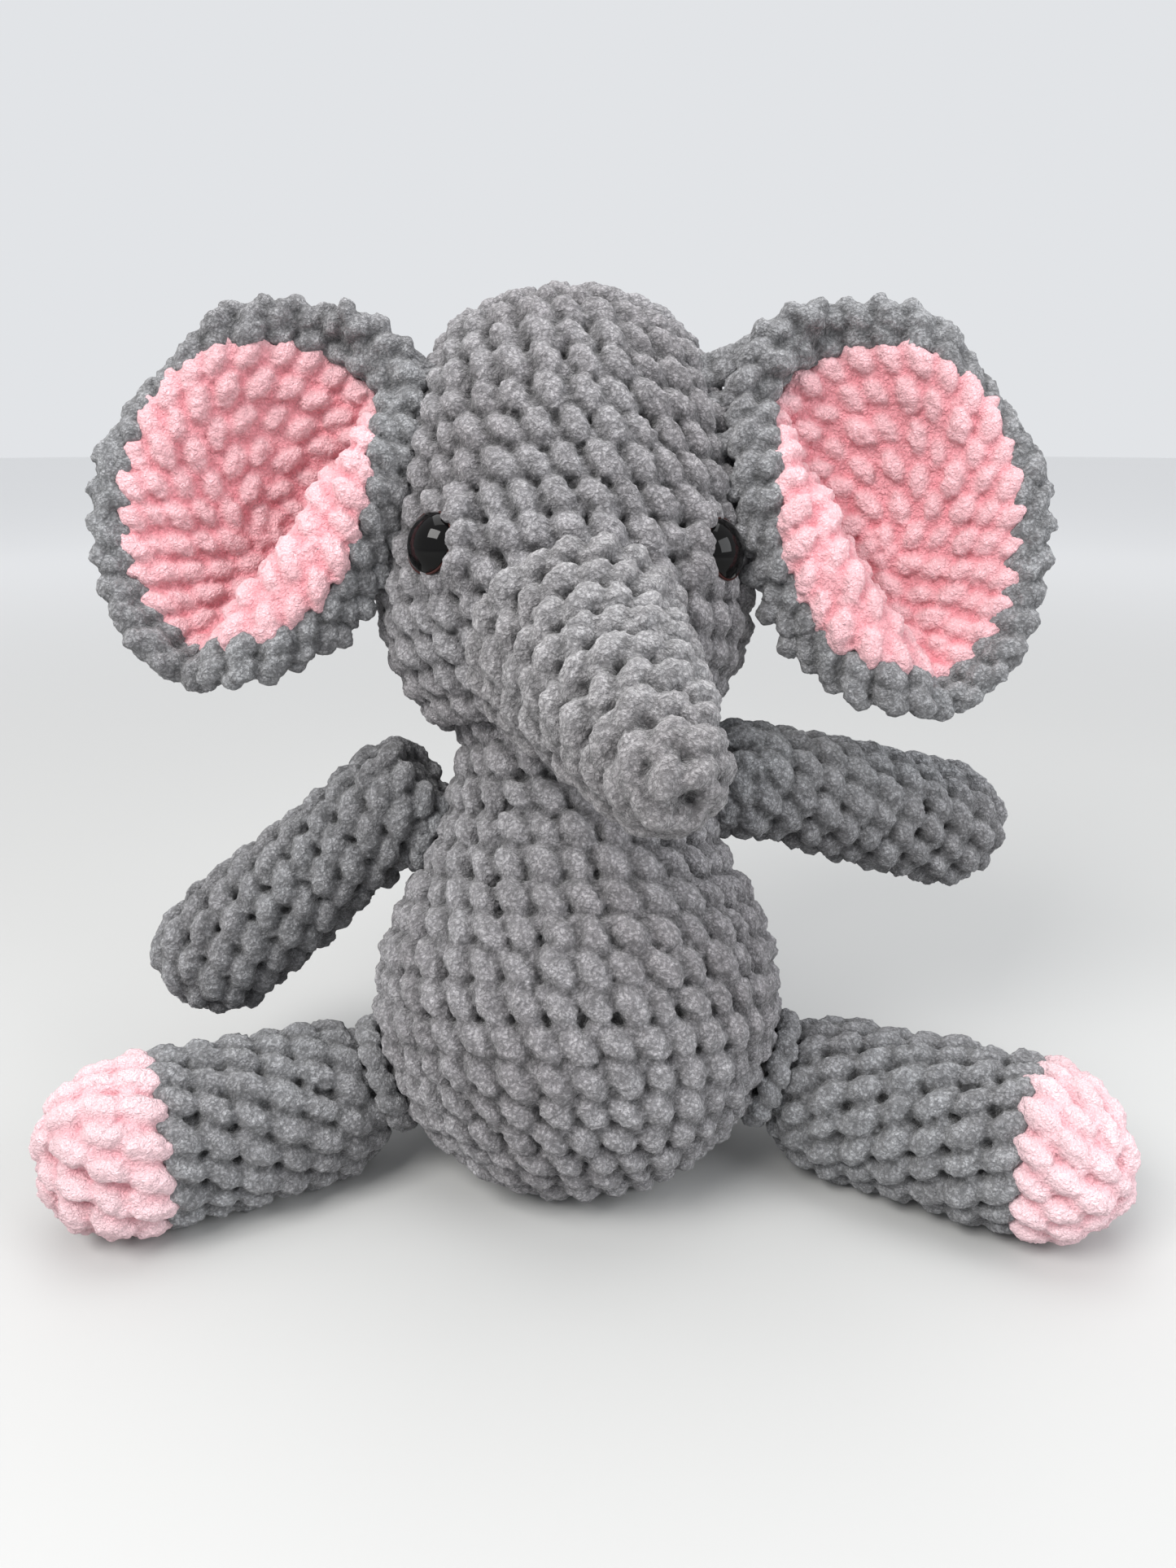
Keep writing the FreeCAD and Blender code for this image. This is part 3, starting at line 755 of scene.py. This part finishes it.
class Ear:
    """Cupped ear: a disc of rounds folded so that a narrow flap by the head comes forward.

    Its own frame: away from the head, back, and up its long side, from the middle of its mouth.
    """

    def __init__(self, side):
        hand = 1.0 if side == "left" else -1.0
        self.up = joint_axis(f"{side}_ear_flap") * hand
        self.away = (Vector((hand, 0, 0)) - self.up * self.up.x * hand).normalized()
        self.back = self.up.cross(self.away) * hand
        rim = node_points(f"{side}_ear_rim")
        centre = (rim.min(axis=0) + rim.max(axis=0)) / 2
        wide, tall, shift, fold, lean = EAR_SHAPE[side]
        self.wide, self.tall = wide * MM, tall * MM
        self.hand = hand
        self.fold = math.radians(fold)
        self.centre = Vector(centre) + self.back * 4 * MM + self.away * shift * MM
        tip_in = math.radians(lean)
        self.up, self.away = (self.up * math.cos(tip_in) - self.away * math.sin(tip_in),
                              self.away * math.cos(tip_in) + self.up * math.sin(tip_in))

    def point(self, rho, angle):
        """Where the point at radius rho, 0 to 1, and angle of the flat disc lies on the folded ear."""
        # the rounds' middle lies out and down from the ear's, and a corner reaches up to the head's top
        corner = math.degrees(angle) % 360.0 - CORNER_AT
        rho_c = rho * (1 + CORNER_OUT * rho * rho * math.exp(-(corner / CORNER_SPAN) ** 2))
        x = rho_c * math.cos(angle) + 0.13 * (1 - rho * rho)
        z = rho_c * math.sin(angle) - 0.07 * (1 - rho * rho)
        # the fold runs from that corner down and out to the ear's lower edge
        c, s = math.cos(self.fold), math.sin(self.fold)
        across, along = x * c + z * s, z * c - x * s
        room = max(0.0, 1.0 - along * along) ** 0.6
        deep = EAR_DEEP * room * float(np.interp(across, FOLD_AT, FOLD_DEEP))
        across += (float(np.interp(across, FOLD_AT, FOLD_ACROSS)) - across) * room
        x, z = across * c - along * s, across * s + along * c
        return (self.centre + self.away * (self.wide * x * (1.0 - 0.10 * z)) + self.up * (self.tall * z)
                + self.back * (deep + 6.0 * MM * (1 - room) - 2 * MM))

    def spot(self, rho, angle, front):
        """As Form.spot, on the front or the back face."""
        step = 0.03
        p = self.point(rho, angle)
        side = (self.point(rho, angle + step) - self.point(rho, angle - step)).normalized()
        way = (self.point(rho + step, angle) - self.point(max(rho - step, 0.001), angle)).normalized()
        normal = side.cross(way).normalized() * -self.hand
        return p, normal if front else -normal, side, way

    def sheet(self, rho0, rho1, shift, half):
        """Closed slab between two radii, shifted along the front normal."""
        rows, spokes = 14, 72
        front, back = [], []
        for i in range(rows + 1):
            rho = max(rho0 + (rho1 - rho0) * i / rows, 0.004)
            for k in range(spokes):
                p, n, _, _ = self.spot(rho, 2 * math.pi * k / spokes, True)
                front.append(p + n * (shift + half))
                back.append(p + n * (shift - half))
        points = front + back
        offset = len(front)
        faces = []
        for i in range(rows):
            for k in range(spokes):
                k2 = (k + 1) % spokes
                a, b = i * spokes, (i + 1) * spokes
                for base, flip in ((0, False), (offset, True)):
                    quad = [base + a + k, base + a + k2, base + b + k2, base + b + k]
                    quad = quad[::-1] if flip else quad
                    faces += [(quad[0], quad[1], quad[2]), (quad[0], quad[2], quad[3])]
        for row, flip in ((0, True), (rows, False)):
            for k in range(spokes):
                k2 = (k + 1) % spokes
                a = row * spokes
                quad = [a + k, a + k2, offset + a + k2, offset + a + k]
                faces += [(quad[0], quad[1], quad[2]), (quad[0], quad[2], quad[3])]
        return np.array([tuple(p) for p in points]), np.array(faces)

    def hang(self, piece):
        """Bakes the piece where it is built; it is attached to no body."""
        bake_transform(piece)

    def stitches(self, rho_list, front, shift, slant, stretch=1.0):
        """Rounds of stitches at these radii, on the front or the back face."""
        shapes = []
        offset = 0.0
        for rho in rho_list:
            ring = [self.point(rho, 2 * math.pi * k / RING_STEPS) for k in range(RING_STEPS)]
            steps = [(ring[(k + 1) % RING_STEPS] - ring[k]).length for k in range(RING_STEPS)]
            lengths = np.cumsum([0.0] + steps)
            count = max(5, round(lengths[-1] / (STITCH_WIDE * EAR_SCALE)))
            offset += ROUND_SHIFT
            for i in range(count):
                share = ((i + offset) % count) / count * lengths[-1]
                angle = float(np.interp(share, lengths, np.linspace(0, 2 * math.pi, RING_STEPS + 1)))
                p, n, side, way = self.spot(rho, angle, front)
                shapes += stitch((p + n * shift, n, side, way), slant, EAR_SCALE, stretch)
        return shapes


def make_ear(side):
    """Pink lining, grey back and the grey border of two plump rounds on each face."""
    ear = Ear(side)
    seed = 10 if side == "left" else 14
    lining = [ear.sheet(0.0, PINK_END, 2.4 * MM, 2.0 * MM)]
    lining += ear.stitches(PINK_ROUNDS, True, 5.8 * MM, 52.0)
    piece = fused(f"{side}_ear_pink", lining, PINK, seed)
    ear.hang(piece)
    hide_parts(f"{side}_ear_lining")
    back = [ear.sheet(0.0, BACK_END, -4.0 * MM, 2.0 * MM)]
    back += ear.stitches(PINK_ROUNDS, False, 7.4 * MM, 60.0)
    piece = fused(f"{side}_ear_grey", back, SLATE, seed + 1)
    ear.hang(piece)
    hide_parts(f"{side}_ear_back")
    border = [ear.sheet(BORDER_START, BORDER_END, 0.0, 3.0 * MM)]
    for front in (True, False):
        border += ear.stitches(BORDER_ROUNDS, front, 4.6 * MM, 40.0, 0.9)
    piece = fused(f"{side}_ear_border", border, SLATE, seed + 2)
    ear.hang(piece)
    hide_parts(f"{side}_ear_rim")


def make_ear_root(side):
    """Rows of stitches that sew the ear's inner edge down the side of the head, widest at its top."""
    ear = Ear(side)
    shapes = []
    for k in range(ROOT_ROWS):
        edge = ear.point(0.97, math.radians(ROOT_TOP + ROOT_STEP * k))
        for i in range(ROOT_REACH[min(k, len(ROOT_REACH) - 1)]):
            spot = edge - ear.away * (4 + 10.0 * i) * MM + ear.back * (3 + 2.0 * i) * MM
            spot = spot - ear.up * 1.5 * i * MM
            way = ear.away + ear.up * rng.uniform(0.1, 0.6)
            shapes.append(lump(spot, way, -ear.back, ROOT_HALVES))
    piece = fused(f"{side}_ear_stitches", shapes, SLATE, seed=30)
    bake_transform(piece)
    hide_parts(f"{side}_ear_seam")


# ---- eyes and seams ----

# Section of the eye's edge: share of EYE_R, and height in mm
EYE_RING = [(0.90, -1.0), (1.0, -1.0), (1.02, -0.3), (1.02, 0.3), (0.99, 0.6), (0.95, 0.5), (0.90, -1.0)]


def make_eye(side):
    """Safety eye: glossy dome in a thin brown edge."""
    base, axis = eye_frame(side)
    ball = (EYE_R ** 2 + EYE_DOME ** 2) / (2 * EYE_DOME)
    half = math.degrees(math.asin(EYE_R / ball))
    profile = [(0.2 * MM, EYE_BACK), (EYE_R * 0.9, EYE_BACK)]
    profile += arc_points((0, EYE_DOME - ball), ball, 90 - half * 0.96, 89.9, 28)
    eye = lathe(f"{side}_eye", base, axis, profile, EYE_BLACK)
    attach(eye, "head")
    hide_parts(f"{side}_safety_eye")
    ring = [(EYE_R * share, height * MM) for share, height in EYE_RING]
    edge = lathe(f"{side}_eye_edge", base, axis, ring, EYE_EDGE)
    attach(edge, "head")
    for slot in bpy.data.objects[f"{side}_eye_washer"].material_slots:
        slot.material = WASHER


def lathe(name, origin, axis, profile, material, spokes=64):
    """Smooth turned piece with this profile of (radius, height) points."""
    form = Form(origin, axis, profile)
    points, faces = [], []
    for r, z in profile:
        for k in range(spokes):
            a = 2 * math.pi * k / spokes
            out = form.ex * math.cos(a) + form.ey * math.sin(a)
            points.append(tuple(form.origin + out * r + form.ez * z))
    for i in range(len(profile) - 1):
        for k in range(spokes):
            k2 = (k + 1) % spokes
            a, b = i * spokes, (i + 1) * spokes
            faces.append((a + k, a + k2, b + k2, b + k))
    obj = mesh_object(name, np.array(points), np.array(faces))
    obj.data.materials.append(material)
    for polygon in obj.data.polygons:
        polygon.use_smooth = True
    return obj


WHIP_TILT = 35.0              # degrees from the ring


def stitch_ring(name, origin, axis, radius, size, material, body, node, seed):
    """Ring of small whipped stitches of sewing yarn."""
    form = Form(origin, axis, [(radius, -1 * MM), (radius, 1 * MM)])
    count = max(6, round(2 * math.pi * radius / (2.1 * size)))
    shapes = []
    for i in range(count):
        p, n, side, way = form.spot(1 * MM, 2 * math.pi * i / count)
        a = math.radians(WHIP_TILT + rng.uniform(-10, 10))
        shapes.append(lump(p, side * math.cos(a) + way * math.sin(a), n, (1.5 * size, size, size)))
    piece = fused(name, shapes, material, seed, voxel=min(VOXEL, 1.1 * MM))
    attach(piece, body)
    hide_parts(node)


def make_seams():
    """Whipped stitches round the neck, the shoulders, the hips and the ears' roots."""
    low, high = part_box("neck_seam")
    height = ((Vector(low) + Vector(high)) / 2 - NECK).dot(BODY_AXIS)
    stitch_ring("neck_stitches", NECK + BODY_AXIS * height, BODY_AXIS, 46.5 * MM, 3.0 * MM, GREY,
                "head", "neck_seam", seed=20)
    for side in ("left", "right"):
        for joint, body, node, radius, size in (("arm_swing", "shoulder", "shoulder_seam", 14.0, 4.4),
                                                ("leg_turn", "hip", "hip_seam", 21.0, 4.8)):
            low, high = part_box(f"{side}_{node}")
            centre = (Vector(low) + Vector(high)) / 2
            way = joint_at(f"{side}_{joint}") - centre
            stitch_ring(f"{side}_{node}_stitches", centre, way, radius * MM, size * MM, SLATE,
                        f"{side}_{body}", f"{side}_{node}", seed=21)
        make_ear_root(side)


make_camera()
make_light()
make_floor()
make_body()
make_head()
make_trunk()
for hand in ("left", "right"):
    make_arm(hand)
    make_leg(hand)
    make_ear(hand)
    make_eye(hand)
make_seams()
